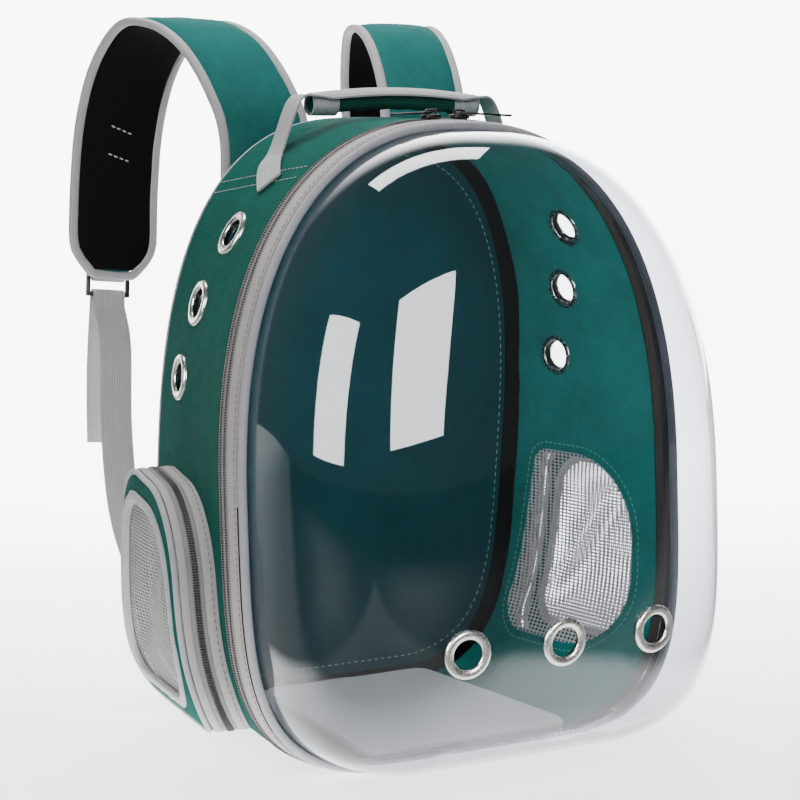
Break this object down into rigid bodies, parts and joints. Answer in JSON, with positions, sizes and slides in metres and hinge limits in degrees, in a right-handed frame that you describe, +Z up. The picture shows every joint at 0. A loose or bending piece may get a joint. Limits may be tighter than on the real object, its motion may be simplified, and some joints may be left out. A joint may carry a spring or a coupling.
{
  "type": "bubble pet carrier backpack",
  "caption": "Backpack for a cat or small dog: a soft fabric box with a bulging clear dome front, vent grommets, zipped side pockets, top grab handle and two padded shoulder straps.",
  "frame": {"origin": "middle of the outer face of the fabric floor, on the plane of symmetry", "axes": "+X to the wearer's right, +Y towards the shoulder straps, +Z up; the clear dome faces -Y"},
  "size_m": [0.3918, 0.4326, 0.492],
  "materials": {
    "green": "matte polyester oxford cloth in a deep teal green, plain weave, sewn with matching thread",
    "lining": "dark teal polyester lining, smooth and slightly sheeny",
    "zipper": "black nylon coil zipper on woven tape",
    "grey_tape": "mid grey woven zipper tape, fine ribs along its length",
    "pale_piping": "light grey woven binding and corded piping, matte",
    "webbing": "light grey ribbed polyester webbing, matte",
    "pad": "pale grey short plush over foam",
    "net": "grey knitted net with open holes",
    "clear": "clear moulded PET plastic, glossy, faintly grey at its edges",
    "nickel": "bright nickel-plated pressed steel",
    "black_metal": "zinc alloy lacquered black, semi-gloss",
    "black_plastic": "moulded black acetal, low gloss"
  },
  "bodies": {
    "bag": {"body_shell": "green", "front_zipper": "zipper", "front_tape": "grey_tape", "front_piping": "pale_piping", "clear_dome": "clear", "back_panel": "lining", "back_piping": "pale_piping", "corner_binding": "lining", "floor_pad": "pad", "side_grommet_left_1": "nickel", "side_grommet_left_2": "nickel", "side_grommet_left_3": "nickel", "side_grommet_right_1": "nickel", "side_grommet_right_2": "nickel", "side_grommet_right_3": "nickel", "dome_grommet_1": "nickel", "dome_grommet_2": "nickel", "dome_grommet_3": "nickel", "front_slider_left": "black_metal", "front_slider_right": "black_metal", "handle_grip": "green", "handle_webbing": "webbing", "pocket_base_tape_left": "grey_tape", "pocket_zipper_left": "zipper", "pocket_front_tape_left": "grey_tape", "pocket_piping_left": "pale_piping", "pocket_face_left": "green", "pocket_edging_left": "pale_piping", "pocket_mesh_left": "net", "window_mesh_left": "net", "pocket_slider_left": "black_metal", "strap_pad_left": "green", "strap_binding_left": "pale_piping", "ladder_lock_left": "black_plastic", "lock_tab_left": "webbing", "strap_webbing_left": "webbing", "pocket_base_tape_right": "grey_tape", "pocket_zipper_right": "zipper", "pocket_front_tape_right": "grey_tape", "pocket_piping_right": "pale_piping", "pocket_face_right": "green", "pocket_edging_right": "pale_piping", "pocket_mesh_right": "net", "window_mesh_right": "net", "pocket_slider_right": "black_metal", "strap_pad_right": "green", "strap_binding_right": "pale_piping", "ladder_lock_right": "black_plastic", "lock_tab_right": "webbing", "strap_webbing_right": "webbing"},
    "front_tab_left": {"front_pull_left": "black_metal"},
    "front_tab_right": {"front_pull_right": "black_metal"},
    "pocket_tab_left": {"pocket_pull_left": "black_metal"},
    "pocket_tab_right": {"pocket_pull_right": "black_metal"}
  },
  "joints": [
    {"name": "front_tab_swing_left", "type": "hinge", "parent": "bag", "child": "front_tab_left", "pos_m": [-0.01216, -0.06957, 0.4218], "axis": [0, 1, 0], "range_deg": [0, 110]},
    {"name": "front_tab_swing_right", "type": "hinge", "parent": "bag", "child": "front_tab_right", "pos_m": [0.01216, -0.06957, 0.4218], "axis": [0, -1, 0], "range_deg": [0, 110]},
    {"name": "pocket_tab_swing_left", "type": "hinge", "parent": "bag", "child": "pocket_tab_left", "pos_m": [-0.15566, 0.07802, 0.073], "axis": [0.9199, -0.1797, 0.3485], "range_deg": [0, 150]},
    {"name": "pocket_tab_swing_right", "type": "hinge", "parent": "bag", "child": "pocket_tab_right", "pos_m": [0.15566, 0.07802, 0.073], "axis": [0.9199, 0.1797, -0.3485], "range_deg": [0, 150]}
  ]
}
